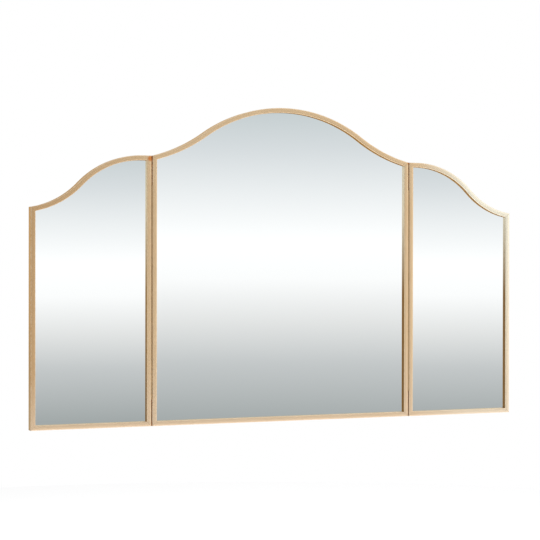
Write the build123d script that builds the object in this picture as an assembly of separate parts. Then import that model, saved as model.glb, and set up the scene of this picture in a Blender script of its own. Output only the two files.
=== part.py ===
from build123d import *
import math
import os

os.makedirs("parts", exist_ok=True)

# A folding wall mirror: an arched centre panel and two arched wings, each a slim metal frame round a mirror glass.
# Sizes are in millimetres. X runs to the viewer's right, Y towards the wall and Z up. Until it is placed at
# the end, everything is measured from the bottom edge of the frames, the middle of the centre panel and the wall.

# Panels
centre_width = 626.0
wing_width = 269.0
fold_gap = 2.0
peak_height = 711.0
hinge_height = 595.0
outer_height = 479.0

# Curves of the tops: how far out and down each crown bends before it turns into the shoulder
centre_crown_reach = 192.0
centre_crown_drop = 61.0
wing_level_run = 21.0
wing_crown_reach = 142.0
wing_crown_drop = 61.0

# Frame section
frame_depth = 20.0
face_width = 10.5
lip_depth = 7.0
rear_wall = 6.0
edge_bevel = 1.0

# Glass and backing board
glass_thickness = 4.0
board_thickness = 5.0
edge_clearance = 1.0

# Clips that hold the boards
clip_thickness = 1.0
clip_width = 14.0
clip_toe = 9.0
clip_edge = 0.8
clip_clearance = 0.3
clip_inset = 150.0
outer_clip_inset = 120.0
bottom_clip_spacing = 320.0

# Screws of the clips
clip_screw_radius = 1.2
clip_screw_length = 8.0
clip_head_radius = 2.2
clip_head_height = 0.9
recess_width = 0.6
recess_length = 2.4
recess_depth = 0.5
screw_clearance = 0.05

# Hinges
hinge_low = 59.0
hinge_drop = 65.0
hinge_axis_depth = 1.5
knuckle_count = 21
knuckle_radius = 1.5
knuckle_gap = 0.3
knuckle_clearance = 0.25
pin_radius = 0.7
pin_clearance = 0.05
leaf_thickness = 0.9
leaf_depth = 13.0
leaf_gap = 0.2
hinge_screw_count = 6
hinge_screw_radius = 1.1
hinge_screw_length = 5.2
hinge_screw_margin = 30.0
hinge_screw_depth = 7.0

# Hangers and bumpers
bumper_thickness = 2.0
bumper_width = 5.0
bumper_length = 14.0
bumper_inset = 12.0
hanger_inset = 18.0
hanger_drop = 50.0
hanger_length = 52.0
hanger_width = 31.0
hanger_edge = 0.8
hanger_corner = 3.0
keyhole_radius = 5.0
keyhole_slot_width = 5.0
keyhole_rise = 9.0
hanger_screw_spacing = 40.0
hanger_screw_radius = 1.2
hanger_screw_length = 9.0
hanger_head_radius = 2.5

# Places that follow the corners where the panels meet
hinge_length = hinge_height - hinge_low - hinge_drop
hanger_height = hinge_height - hanger_drop
hanger_spacing = centre_width - 2 * hanger_inset

# Levels from the wall forwards
frame_back = -bumper_thickness
frame_front = frame_back - frame_depth
glass_front = frame_front + lip_depth
glass_back = glass_front + glass_thickness
board_back = glass_back + board_thickness
hinge_axis_y = frame_front + hinge_axis_depth
hinge_x = (centre_width + fold_gap) / 2


# Curved tops
class Curve:
    """A top rail's outline: level at its start, it bends down round a crown and back up round a shoulder."""

    def __init__(self, start, reach, drop, end):
        self.start = start
        self.end = end
        self.slope = 2 * math.atan(drop / reach)
        self.crown_radius = reach / math.sin(self.slope)
        self.turn = (start[0] + reach, start[1] - drop)
        run = end[0] - self.turn[0]
        fall = self.turn[1] - end[1]
        chord_slope = math.atan2(fall, run)
        self.shoulder_radius = math.hypot(run, fall) / (2 * math.sin(self.slope - chord_slope))
        self.shoulder_centre = (
            self.turn[0] + self.shoulder_radius * math.sin(self.slope),
            self.turn[1] + self.shoulder_radius * math.cos(self.slope),
        )

    def crown_point(self, inset, slope):
        radius = self.crown_radius - inset
        centre_z = self.start[1] - self.crown_radius
        return (self.start[0] + radius * math.sin(slope), centre_z + radius * math.cos(slope))

    def shoulder_point(self, inset, slope):
        radius = self.shoulder_radius + inset
        x = self.shoulder_centre[0] - radius * math.sin(slope)
        return (x, self.shoulder_centre[1] - radius * math.cos(slope))

    def end_slope(self, inset):
        offset = self.shoulder_centre[0] - (self.end[0] - inset)
        return math.asin(offset / (self.shoulder_radius + inset))

    def edges(self, inset, side=1):
        end_slope = self.end_slope(inset)
        crown = [self.crown_point(inset, self.slope * share) for share in (0, 0.5, 1)]
        middle = (self.slope + end_slope) / 2
        shoulder = [self.shoulder_point(inset, slope) for slope in (self.slope, middle, end_slope)]
        return [ThreePointArc(*[place(side * x, z) for x, z in arc]) for arc in (crown, shoulder)]

    def end_point(self, inset):
        return self.shoulder_point(inset, self.end_slope(inset))


def place(x, z, y=0.0):
    return Vector(x, y, z)


centre_curve = Curve(
    (0.0, peak_height), centre_crown_reach, centre_crown_drop, (centre_width / 2, hinge_height)
)
wing_curve = Curve(
    (wing_level_run, hinge_height), wing_crown_reach, wing_crown_drop, (wing_width, outer_height)
)


# Outlines of the panels, drawn a given distance in from their edges
def centre_outline(inset, bottom):
    half = centre_width / 2 - inset
    corner = place(*centre_curve.end_point(inset))
    left_corner = place(-corner.X, corner.Z)
    return [
        Line(place(-half, bottom), place(half, bottom)),
        Line(place(half, bottom), corner),
        Line(place(-half, bottom), left_corner),
        *centre_curve.edges(inset),
        *centre_curve.edges(inset, -1),
    ]


def wing_outline(inset, bottom):
    corner = place(*wing_curve.end_point(inset))
    top = hinge_height - inset
    return [
        Line(place(inset, bottom), place(corner.X, bottom)),
        Line(place(corner.X, bottom), corner),
        Line(place(inset, bottom), place(inset, top)),
        Line(place(inset, top), place(wing_level_run, top)),
        *wing_curve.edges(inset),
    ]


def slab(edges, front, back):
    """A flat plate between two levels, with the given outline."""
    face = Face(Wire(edges))
    return extrude(Pos(0, front, 0) * face, amount=back - front, dir=(0, 1, 0))


def ring(outline):
    """A whole frame: a lip in front of the glass and a thinner wall beside it."""
    body = slab(outline(0.0, 0.0), frame_front, frame_back)
    body -= slab(outline(face_width, face_width), frame_front, glass_front)
    return body - slab(outline(rear_wall, rear_wall), glass_front, frame_back)


# Mitred rails and stiles
def beyond(start, through, reach=25.0):
    away = (through - start).normalized()
    return through + away * reach


def cut_rail(frame, first, last, outside=()):
    """The stretch of a frame between the mitres at two corners, each given by its points from the outside in."""
    path = [
        beyond(first[1], first[0]),
        *outside,
        beyond(last[1], last[0]),
        *last,
        beyond(last[1], last[2]),
        beyond(first[1], first[2]),
        *reversed(first),
    ]
    sides = [Line(a, b) for a, b in zip(path, path[1:] + path[:1])]
    rail = frame & slab(sides, frame_front - 1, frame_back + 1)
    return bevelled(rail, [(corner[0] + corner[2]) / 2 for corner in (first, last)])


def bevelled(rail, mitre_middles):
    """Eases a rail's front edges, except where it meets its neighbours at the mitres."""
    middles = [place(middle.X, middle.Z, frame_front) for middle in mitre_middles]
    front_edges = rail.edges().filter_by_position(Axis.Y, frame_front - 0.01, frame_front + 0.01)
    free = [e for e in front_edges if min((e.center() - m).length for m in middles) > face_width / 2]
    return chamfer(free, edge_bevel)


def mitre(point_at):
    """A corner's points on the outer edge, the rebate and the inner edge."""
    return [place(*point_at(inset)) for inset in (0, rear_wall, face_width)]


def centre_rails():
    frame = ring(centre_outline)
    half = centre_width / 2
    bottom_right = mitre(lambda inset: (half - inset, inset))
    top_right = mitre(centre_curve.end_point)
    bottom_left = [place(-p.X, p.Z) for p in bottom_right]
    top_left = [place(-p.X, p.Z) for p in top_right]
    above = [place(-centre_width, 2 * peak_height), place(centre_width, 2 * peak_height)]
    return {
        "top_rail": cut_rail(frame, top_left, top_right, above),
        "bottom_rail": cut_rail(frame, bottom_left, bottom_right),
        "left_stile": cut_rail(frame, bottom_left, top_left),
        "right_stile": cut_rail(frame, bottom_right, top_right),
    }


def wing_rails():
    frame = ring(wing_outline)
    hinge_bottom = mitre(lambda inset: (inset, inset))
    hinge_top = mitre(lambda inset: (inset, hinge_height - inset))
    outer_bottom = mitre(lambda inset: (wing_width - inset, inset))
    outer_top = mitre(wing_curve.end_point)
    above = [place(-wing_width, 2 * hinge_height), place(2 * wing_width, 2 * hinge_height)]
    return {
        "top_rail": cut_rail(frame, hinge_top, outer_top, above),
        "bottom_rail": cut_rail(frame, hinge_bottom, outer_bottom),
        "outer_stile": cut_rail(frame, outer_bottom, outer_top),
        "hinge_stile": cut_rail(frame, hinge_bottom, hinge_top),
    }


# Board clips, drawn with X into the panel from its edge and Z along the rail
def board_clip():
    web = rear_wall + clip_clearance
    foot_back = frame_back + clip_thickness
    points = [
        (clip_edge, frame_back),
        (web, frame_back),
        (web, board_back),
        (web + clip_toe, board_back),
        (web + clip_toe, board_back + clip_thickness),
        (web + clip_thickness, board_back + clip_thickness),
        (web + clip_thickness, foot_back),
        (clip_edge, foot_back),
    ]
    face = make_face(Polyline(*points, close=True))
    clip = Pos(0, 0, -clip_width / 2) * extrude(face, clip_width)
    return clip - clip_screw_hole()


def clip_screw_line(radius, front, back):
    length = back - front
    rod = Cylinder(radius, length, rotation=(90, 0, 0))
    return Pos(rear_wall / 2, (front + back) / 2, 0) * rod


def clip_screw_hole():
    head_seat = frame_back + clip_thickness
    return clip_screw_line(clip_screw_radius + screw_clearance, head_seat - clip_screw_length, head_seat)


def clip_screw():
    head_seat = frame_back + clip_thickness
    head_back = head_seat + clip_head_height
    screw = clip_screw_line(clip_screw_radius, head_seat - clip_screw_length, head_seat)
    screw += clip_screw_line(clip_head_radius, head_seat, head_back)
    for length, width in ((recess_length, recess_width), (recess_width, recess_length)):
        cut = Box(length, recess_depth, width)
        screw -= Pos(rear_wall / 2, head_back - recess_depth / 2, 0) * cut
    return screw


def on_edge(x, z, angle):
    """A place on a panel's edge whose own X points into the panel, at an angle up from the panel's X."""
    turn = math.radians(angle)
    return Location(
        Plane(
            origin=(x, 0, z),
            x_dir=(math.cos(turn), 0, math.sin(turn)),
            z_dir=(-math.sin(turn), 0, math.cos(turn)),
        )
    )


centre_turn = centre_curve.turn
centre_slope = math.degrees(centre_curve.slope)
centre_clip_places = [
    on_edge(-centre_width / 2, clip_inset, 0),
    on_edge(-centre_width / 2, hinge_height - clip_inset, 0),
    on_edge(centre_width / 2, clip_inset, 180),
    on_edge(centre_width / 2, hinge_height - clip_inset, 180),
    on_edge(-bottom_clip_spacing / 2, 0, 90),
    on_edge(bottom_clip_spacing / 2, 0, 90),
    on_edge(centre_turn[0], centre_turn[1], -90 - centre_slope),
    on_edge(-centre_turn[0], centre_turn[1], -90 + centre_slope),
]
wing_turn = wing_curve.turn
wing_slope = math.degrees(wing_curve.slope)
wing_clip_places = [
    on_edge(0, clip_inset, 0),
    on_edge(0, hinge_height - clip_inset, 0),
    on_edge(wing_width, outer_clip_inset, 180),
    on_edge(wing_width, outer_height - outer_clip_inset, 180),
    on_edge(wing_width / 2, 0, 90),
    on_edge(wing_turn[0], wing_turn[1], -90 - wing_slope),
]


def at_places(places, shape):
    return [location * shape for location in places]


def without(body, cuts):
    for cut in cuts:
        body -= cut
    return body


# Panels: frame, glass, board and the clips that hold them
def panel(rails, outline, clip_places):
    glass_edges = outline(rear_wall + edge_clearance, rear_wall)
    pieces = dict(rails)
    for name, rail in rails.items():
        pieces[name] = without(rail, at_places(clip_places, clip_screw_hole()))
    pieces["mirror_glass"] = slab(glass_edges, glass_front, glass_back)
    pieces["backing_board"] = slab(glass_edges, glass_back, board_back)
    pieces["board_clips"] = at_places(clip_places, board_clip())
    pieces["clip_screws"] = at_places(clip_places, clip_screw())
    return pieces


# Bumpers
def bumper(x, z):
    block = Box(bumper_width, bumper_thickness, bumper_length)
    return Pos(x, frame_back + bumper_thickness / 2, z + bumper_length / 2) * fillet(
        block.edges().filter_by(Axis.Y), bumper_width / 4
    )


centre = panel(centre_rails(), centre_outline, centre_clip_places)
wall_middle = centre_width / 2 - rear_wall / 2
centre["bumpers"] = [bumper(side * wall_middle, bumper_inset) for side in (-1, 1)]

wing = panel(wing_rails(), wing_outline, wing_clip_places)
outer_middle = wing_width - rear_wall / 2
wing["bumpers"] = [
    bumper(outer_middle, bumper_inset),
    bumper(outer_middle, outer_height - bumper_inset - bumper_length),
]


# Continuous hinge, drawn with its axis at X and Y zero, the wing on +X and the wall on +Y
def upright(radius, low, high):
    return Pos(0, 0, (low + high) / 2) * Cylinder(radius, high - low)


def block(x, y, z):
    """A box between two values on each axis."""
    size = [high - low for low, high in (x, y, z)]
    middle = [(low + high) / 2 for low, high in (x, y, z)]
    return Pos(*middle) * Box(*size)


def knuckle_spans(first):
    pitch = hinge_length / knuckle_count
    for index in range(first, knuckle_count, 2):
        low = hinge_low + index * pitch
        yield low + knuckle_gap / 2, low + pitch - knuckle_gap / 2


def hinge_screw_heights():
    run = hinge_length - 2 * hinge_screw_margin
    step = run / (hinge_screw_count - 1)
    return [hinge_low + hinge_screw_margin + index * step for index in range(hinge_screw_count)]


def hinge_screw(grown=0.0):
    """A countersunk screw that points along +X, with its head flush in the leaf."""
    face_x = leaf_gap / 2
    radius = hinge_screw_radius + grown
    head_radius = hinge_screw_radius + leaf_thickness + grown
    head = Pos(face_x + leaf_thickness / 2, 0, 0) * Rot(0, 90, 0) * Cone(head_radius, radius, leaf_thickness)
    length = hinge_screw_length + grown
    shank = Pos(face_x + length / 2, 0, 0) * Rot(0, 90, 0) * Cylinder(radius, length)
    return head + shank


def hinge_screws(grown=0.0):
    return [Pos(0, hinge_screw_depth, height) * hinge_screw(grown) for height in hinge_screw_heights()]


def hinge_leaf(first_knuckle):
    near = leaf_gap / 2
    far = near + leaf_thickness
    top = hinge_low + hinge_length
    clear = knuckle_radius + knuckle_clearance
    leaf = block((near, far), (clear, leaf_depth), (hinge_low, top))
    for low, high in knuckle_spans(first_knuckle):
        leaf += upright(knuckle_radius, low, high) + block((near, far), (0, clear), (low, high))
    leaf -= upright(pin_radius + pin_clearance, hinge_low - 1, top + 1)
    return without(leaf, hinge_screws(screw_clearance))


def barrel_notch():
    """The room for the barrel, cut from the edges of both stiles."""
    clear = knuckle_radius + knuckle_clearance
    ends = (hinge_low - knuckle_gap, hinge_low + hinge_length + knuckle_gap)
    return block((-clear, clear), (-hinge_axis_depth, clear), ends)


hinge_pin = upright(pin_radius, hinge_low, hinge_low + hinge_length)
hinge_cuts = [barrel_notch(), *hinge_screws(screw_clearance)]


# Hanger plates, drawn on the right of the centre panel
def keyhole():
    hole = Cylinder(keyhole_radius, 2 * bumper_thickness, rotation=(90, 0, 0))
    slot = Box(keyhole_slot_width, 2 * bumper_thickness, keyhole_rise)
    slot_end = Cylinder(keyhole_slot_width / 2, 2 * bumper_thickness, rotation=(90, 0, 0))
    return hole + Pos(0, 0, keyhole_rise / 2) * slot + Pos(0, 0, keyhole_rise) * slot_end


def hanger_screw(grown=0.0):
    """A countersunk screw that points away from the wall, with its head flush in the plate."""
    radius = hanger_screw_radius + grown
    head_radius = hanger_head_radius + grown
    depth = hanger_head_radius - hanger_screw_radius
    head = Pos(0, -depth / 2, 0) * Rot(-90, 0, 0) * Cone(radius, head_radius, depth)
    length = hanger_screw_length + grown
    shank = Pos(0, -length / 2, 0) * Rot(-90, 0, 0) * Cylinder(radius, length)
    return head + shank


def hanger_screws(grown=0.0):
    heights = [hanger_height - hanger_screw_spacing / 2, hanger_height + hanger_screw_spacing / 2]
    return [Pos(wall_middle, 0, height) * hanger_screw(grown) for height in heights]


def hanger_plate():
    outer = centre_width / 2 - hanger_edge
    plate = block(
        (outer - hanger_width, outer),
        (frame_back, 0),
        (hanger_height - hanger_length / 2, hanger_height + hanger_length / 2),
    )
    plate = fillet(plate.edges().filter_by(Axis.Y), hanger_corner)
    plate -= Pos(hanger_spacing / 2, 0, hanger_height) * keyhole()
    return without(plate, hanger_screws(screw_clearance))


# Assembly: each piece goes to its place, and the left side is the right side mirrored
def as_list(shape):
    return shape if isinstance(shape, list) else [shape]


def moved(shape, location):
    return [location * part for part in as_list(shape)]


def mirrored(shape):
    return [mirror(part, about=Plane.YZ) for part in as_list(shape)]


pieces = {"centre_" + name: as_list(shape) for name, shape in centre.items()}
wing_place = Pos(centre_width / 2 + fold_gap, 0, 0)
right_wing = {name: moved(shape, wing_place) for name, shape in wing.items()}

hinge_place = Pos(hinge_x, hinge_axis_y, 0)
right_hinge = {
    "wing_leaf": moved(hinge_leaf(1), hinge_place),
    "centre_leaf": moved(mirrored(hinge_leaf(0)), hinge_place),
    "pin": moved(hinge_pin, hinge_place),
    "wing_leaf_screws": moved(hinge_screws(), hinge_place),
    "centre_leaf_screws": moved(mirrored(hinge_screws()), hinge_place),
}
wing_side_cuts = moved(hinge_cuts, hinge_place)
centre_side_cuts = moved(mirrored(hinge_cuts), hinge_place)
plate_cuts = hanger_screws(screw_clearance)
right_wing["hinge_stile"] = [without(right_wing["hinge_stile"][0], wing_side_cuts)]
right_stile = without(pieces["centre_right_stile"][0], centre_side_cuts + plate_cuts)
left_stile = without(pieces["centre_left_stile"][0], mirrored(centre_side_cuts + plate_cuts))
pieces["centre_right_stile"] = [right_stile]
pieces["centre_left_stile"] = [left_stile]

for name, shape in right_wing.items():
    pieces["right_wing_" + name] = shape
    pieces["left_wing_" + name] = mirrored(shape)
for name, shape in right_hinge.items():
    pieces["right_hinge_" + name] = shape
    pieces["left_hinge_" + name] = mirrored(shape)
pieces["right_hanger_plate"] = [hanger_plate()]
pieces["left_hanger_plate"] = mirrored(hanger_plate())
pieces["hanger_plate_screws"] = hanger_screws() + mirrored(hanger_screws())

# The origin is on the wall, midway between the keyholes
origin = Pos(0, 0, -hanger_height)
for name, shape in pieces.items():
    solids = [origin * solid for part in shape for solid in part.solids()]
    node = solids[0] if len(solids) == 1 else Compound(children=solids)
    export_step(node, f"parts/{name}.step")

print("crown radius", round(centre_curve.crown_radius, 1), "shoulder radius", round(centre_curve.shoulder_radius, 1))
print("wing crown radius", round(wing_curve.crown_radius, 1), "shoulder", round(wing_curve.shoulder_radius, 1))
print(len(pieces), "pieces, overall width", centre_width + 2 * (fold_gap + wing_width))
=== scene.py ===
# %% [markdown]
# # A folding wall mirror in three panels
# The mirror is an arched centre panel between two arched wings. Each panel is a slim frame of brushed,
# champagne coloured metal round a sheet of mirror glass, and long hinges let the wings swing forward.
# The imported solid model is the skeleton: it fixes every size. This lesson dresses it, so that each step
# either gives a finish to a solid that is already right, or puts a finer piece exactly in its place.

# %% Load the solid model
import math

import bmesh
import bpy
import numpy as np
from mathutils import Matrix, Vector


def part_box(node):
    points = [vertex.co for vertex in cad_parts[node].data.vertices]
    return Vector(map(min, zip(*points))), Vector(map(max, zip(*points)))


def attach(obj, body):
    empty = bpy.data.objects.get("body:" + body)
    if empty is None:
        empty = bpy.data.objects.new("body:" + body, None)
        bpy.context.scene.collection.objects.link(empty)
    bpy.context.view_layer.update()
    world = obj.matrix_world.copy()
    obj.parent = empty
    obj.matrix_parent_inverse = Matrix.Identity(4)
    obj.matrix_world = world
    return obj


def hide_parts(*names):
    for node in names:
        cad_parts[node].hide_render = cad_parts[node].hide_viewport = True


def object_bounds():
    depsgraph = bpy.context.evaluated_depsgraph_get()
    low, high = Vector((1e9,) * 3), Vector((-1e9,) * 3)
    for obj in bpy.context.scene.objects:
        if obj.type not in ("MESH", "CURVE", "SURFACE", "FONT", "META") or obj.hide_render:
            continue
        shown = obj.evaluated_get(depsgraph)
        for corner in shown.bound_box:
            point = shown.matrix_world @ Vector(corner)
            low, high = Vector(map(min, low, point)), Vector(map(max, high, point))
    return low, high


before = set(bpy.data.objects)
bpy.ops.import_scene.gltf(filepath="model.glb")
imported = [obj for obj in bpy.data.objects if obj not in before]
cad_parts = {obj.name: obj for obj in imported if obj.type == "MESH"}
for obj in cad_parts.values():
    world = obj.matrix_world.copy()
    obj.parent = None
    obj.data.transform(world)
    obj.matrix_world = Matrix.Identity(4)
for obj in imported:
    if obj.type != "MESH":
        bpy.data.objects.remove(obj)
cad_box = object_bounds()
MM = 0.001


def in_scene(name, data):
    """A new object in the scene that holds some data, such as a mesh or a lamp."""
    made = bpy.data.objects.new(name, data)
    bpy.context.scene.collection.objects.link(made)
    return made


def mesh_object(name, points, faces=(), edges=()):
    mesh = bpy.data.meshes.new(name)
    mesh.from_pydata(points, edges, faces)
    return in_scene(name, mesh)


# %% [markdown]
# ## The camera
# The photograph was taken from the left, level with the middle of the mirror and about three and a half
# metres away, with a long lens. That is why the nearer wing looks wider and all the level edges run slightly
# uphill. A wide lens close by would exaggerate this, so the distance and the lens are set together:
# a camera this far away needs a focal length of about three times the sensor's width.

# %% Place the camera
CAMERA_PLACE = (-1.308, -3.272, -0.180)
CAMERA_YAW = math.radians(21.38)
CAMERA_PITCH = math.radians(-0.355)
CAMERA_ROLL = math.radians(0.094)

camera = in_scene("camera", bpy.data.cameras.new("camera"))
camera.data.lens = 102.8
camera.data.sensor_width = 36
camera.data.clip_start = 0.1
camera.data.clip_end = 60
turned = Matrix.Rotation(-CAMERA_YAW, 4, "Z") @ Matrix.Rotation(math.pi / 2 + CAMERA_PITCH, 4, "X")
camera.matrix_world = Matrix.Translation(CAMERA_PLACE) @ turned @ Matrix.Rotation(CAMERA_ROLL, 4, "Z")
bpy.context.scene.camera = camera
bpy.context.scene.view_settings.view_transform = "Standard"
print("camera", round(Vector(CAMERA_PLACE).length, 2), "m from the mirror")

# %% [markdown]
# ## Small tools for node trees
# Materials and Geometry Nodes are both graphs of nodes. A few helpers keep the graphs readable here: one adds
# a node, sets it up and plugs in its inputs, and another makes a group. The rest are common kinds of node.


# %% Helpers for building node trees
def add(tree, kind, inputs=None, **settings):
    """Adds a node. Inputs are given by name or number, as a value or as another node's output."""
    made = tree.nodes.new(kind)
    for name, value in settings.items():
        setattr(made, name, value)
    for key, value in (inputs or {}).items():
        if isinstance(value, bpy.types.NodeSocket):
            tree.links.new(value, made.inputs[key])
        else:
            made.inputs[key].default_value = value
    return made


def out_of(tree, kind, inputs=None, **settings):
    """The first output of an added node."""
    return add(tree, kind, inputs, **settings).outputs[0]


def calc(tree, operation, *values):
    """One arithmetic node, such as calc(tree, "ADD", a, b)."""
    return out_of(tree, "ShaderNodeMath", dict(enumerate(values)), operation=operation)


def vector_calc(tree, operation, *values):
    return out_of(tree, "ShaderNodeVectorMath", dict(enumerate(values)), operation=operation)


def lengthened(tree, vector, factor):
    return out_of(tree, "ShaderNodeVectorMath", {0: vector, "Scale": factor}, operation="SCALE")


def parts_of(tree, vector):
    """The X, Y and Z of a vector."""
    return add(tree, "ShaderNodeSeparateXYZ", {0: vector}).outputs


def mixed(tree, share, first, second):
    """One colour, or a blend of two by a share from 0 to 1."""
    return add(tree, "ShaderNodeMix", {0: share, 6: first, 7: second}, data_type="RGBA").outputs[2]


def new_group(name, kind, inputs, outputs):
    """An empty node group. Inputs are (name, kind of socket, starting value) and outputs (name, kind)."""
    tree = bpy.data.node_groups.new(name, kind)
    for label, socket, value in inputs:
        made = tree.interface.new_socket(name=label, in_out="INPUT", socket_type="NodeSocket" + socket)
        if value is not None:
            made.default_value = value
    for label, socket in outputs:
        tree.interface.new_socket(name=label, in_out="OUTPUT", socket_type="NodeSocket" + socket)
    return tree, tree.nodes.new("NodeGroupInput").outputs, tree.nodes.new("NodeGroupOutput")


def grouped(tree, group, **inputs):
    """Places a shader group in a tree and returns its outputs."""
    named = {name.replace("_", " "): value for name, value in inputs.items()}
    return add(tree, "ShaderNodeGroup", named, node_tree=group).outputs


print("helpers:", [helper.__name__ for helper in (add, out_of, calc, vector_calc, mixed, new_group, grouped)])

# %% [markdown]
# ## Light and surroundings
# A mirror and a brushed metal frame show their surroundings, so these decide the look. The real one stood
# in a white studio: the glass shows a band of white at eye level that falls to soft grey below and to a
# cool pale grey above. Painting that on the glass would be wrong from any other side, so it belongs to the
# world, and only reflected rays see it. Camera rays see plain white, and diffuse rays get an even light.

# %% Build the world that the mirror reflects
HORIZON = 0.5
SWEEP = 30.0
world = bpy.data.worlds.new("studio")
bpy.context.scene.world = world
world.use_nodes = True
sky = world.node_tree
sky.nodes.clear()
look = add(sky, "ShaderNodeTexCoord").outputs["Generated"]
across, towards, up = parts_of(sky, look)
elevation = calc(sky, "DEGREES", calc(sky, "ARCSINE", up))
azimuth = calc(sky, "DEGREES", calc(sky, "ARCTAN2", across, calc(sky, "MULTIPLY", towards, -1.0)))
above_horizon = calc(sky, "SUBTRACT", elevation, HORIZON)
share = calc(sky, "ADD", calc(sky, "DIVIDE", above_horizon, 2 * SWEEP), 0.5)
gradient = add(sky, "ShaderNodeValToRGB", {0: share})
STUDIO_TONES = [
    (-30.0, (0.72, 0.72, 0.72)),
    (-6.6, (0.38, 0.41, 0.41)),
    (-4.3, (0.585, 0.605, 0.61)),
    (-2.8, (0.81, 0.815, 0.81)),
    (-1.2, (1.03, 1.03, 1.03)),
    (0.2, (1.08, 1.08, 1.08)),
    (2.0, (0.895, 0.915, 0.925)),
    (3.6, (0.72, 0.755, 0.775)),
    (5.2, (0.58, 0.635, 0.65)),
    (30.0, (0.84, 0.86, 0.88)),
]
for index, (degrees, tone) in enumerate(STUDIO_TONES):
    place = 0.5 + degrees / (2 * SWEEP)
    stops = gradient.color_ramp.elements
    stop = stops[index] if index < 2 else stops.new(place)
    stop.position = place
    stop.color = (*tone, 1)

# a broad light to the right of the camera, just outside what the glass shows from the front
GLOW_FROM, GLOW_FULL, GLOW_TO = 31.0, 46.0, 100.0
eased = {"interpolation_type": "SMOOTHSTEP"}
rising = out_of(sky, "ShaderNodeMapRange", {0: azimuth, 1: GLOW_FROM, 2: GLOW_FULL, 3: 0.0, 4: 1.0}, **eased)
falling = out_of(sky, "ShaderNodeMapRange", {0: azimuth, 1: GLOW_FULL, 2: GLOW_TO, 3: 1.0, 4: 0.0}, **eased)
glow = calc(sky, "MULTIPLY", rising, falling)
glowing = mixed(sky, glow, gradient.outputs[0], (1.6, 1.58, 1.52, 1))

path = add(sky, "ShaderNodeLightPath").outputs
reflected = calc(sky, "MAXIMUM", path["Is Glossy Ray"], path["Is Transmission Ray"])
mirrored = mixed(sky, reflected, (0.62, 0.62, 0.63, 1), glowing)
seen = mixed(sky, path["Is Camera Ray"], mirrored, (1, 1, 1, 1))
background = out_of(sky, "ShaderNodeBackground", {"Color": seen, "Strength": 1.0})
add(sky, "ShaderNodeOutputWorld", {"Surface": background})
print("world tones:", len(STUDIO_TONES))

# %% [markdown]
# Two large soft lamps shape the solid parts: one high in front and a weaker one behind, for the boards and
# the hangers. They are hidden from reflections, because a hard white rectangle in the glass would look
# like a window. The floor is well below the mirror, as under one that hangs on a wall.


# %% Add the lamps and the floor
def soft_lamp(name, place, aim, size, watts):
    lamp = in_scene(name, bpy.data.lights.new(name, "AREA"))
    lamp.data.size = size
    lamp.data.energy = watts
    lamp.location = place
    lamp.rotation_euler = (Vector(aim) - Vector(place)).to_track_quat("-Z", "Y").to_euler()
    lamp.visible_camera = False
    lamp.visible_glossy = False


middle = (cad_box[0] + cad_box[1]) / 2
soft_lamp("front_lamp", (1.4, -2.6, 1.9), middle, 2.2, 60)
soft_lamp("back_lamp", (-1.2, 2.4, 1.6), middle, 2.0, 45)

FLOOR_DROP = 0.86
FLOOR_REACH = 5.0
FLOOR_SIDES = 64
angles = np.linspace(0, math.tau, FLOOR_SIDES, endpoint=False)
rim = [(FLOOR_REACH * math.cos(angle), FLOOR_REACH * math.sin(angle)) for angle in angles]
floor_level = cad_box[0].z - FLOOR_DROP
floor = mesh_object("floor", [(x, y, floor_level) for x, y in rim], [list(range(FLOOR_SIDES))])

floor_look = bpy.data.materials.new("pale_floor")
floor_look.use_nodes = True
tree = floor_look.node_tree
tree.nodes.clear()
matt = out_of(tree, "ShaderNodeBsdfDiffuse", {"Color": (0.86, 0.86, 0.85, 1)})
lift = out_of(tree, "ShaderNodeEmission", {"Color": (1, 1, 1, 1), "Strength": 0.40})
pale = out_of(tree, "ShaderNodeAddShader", {0: matt, 1: lift})
clear = out_of(tree, "ShaderNodeBsdfTransparent")
from_below = add(tree, "ShaderNodeNewGeometry").outputs["Backfacing"]
one_sided = out_of(tree, "ShaderNodeMixShader", {0: from_below, 1: pale, 2: clear})
add(tree, "ShaderNodeOutputMaterial", {"Surface": one_sided})
floor.data.materials.append(floor_look)
print("floor at", round(floor_level, 3))

# %% [markdown]
# ## Effects that several finishes share
# Real finishes repeat a few effects: fine lines left by brushing, patches where the colour drifts, and
# edges rubbed brighter. Each is a group with its own inputs, so that steel, brass and board can use the
# same idea at their own scale. The groups give only numbers; the shader stays in each material.

# %% Brushed lines
tree, given, result = new_group(
    "Brushed lines",
    "ShaderNodeTree",
    [("Along and across", "Vector", None), ("Line length", "Float", 0.03), ("Line width", "Float", 0.0004)],
    [("Lines", "Float"), ("Streaks", "Float")],
)
run, cross, _ = parts_of(tree, given["Along and across"])
long_run = calc(tree, "DIVIDE", run, given["Line length"])
for label, coarser in (("Lines", 1.0), ("Streaks", 6.0)):
    width = calc(tree, "MULTIPLY", given["Line width"], coarser)
    narrow = calc(tree, "DIVIDE", cross, width)
    spot = out_of(tree, "ShaderNodeCombineXYZ", {0: long_run, 1: narrow, 2: coarser})
    noise = out_of(tree, "ShaderNodeTexNoise", {"Vector": spot, "Scale": 1.0, "Detail": 2.0})
    tree.links.new(noise, result.inputs[label])
brushed_lines = tree
print("brushed lines give:", [socket.name for socket in result.inputs if socket.name])

# %% [markdown]
# Patches are a soft noise held between 0 and 1. Rubbing uses the patches again, because an edge never wears
# evenly along its length: where the patch is low the coating stays.

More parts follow.
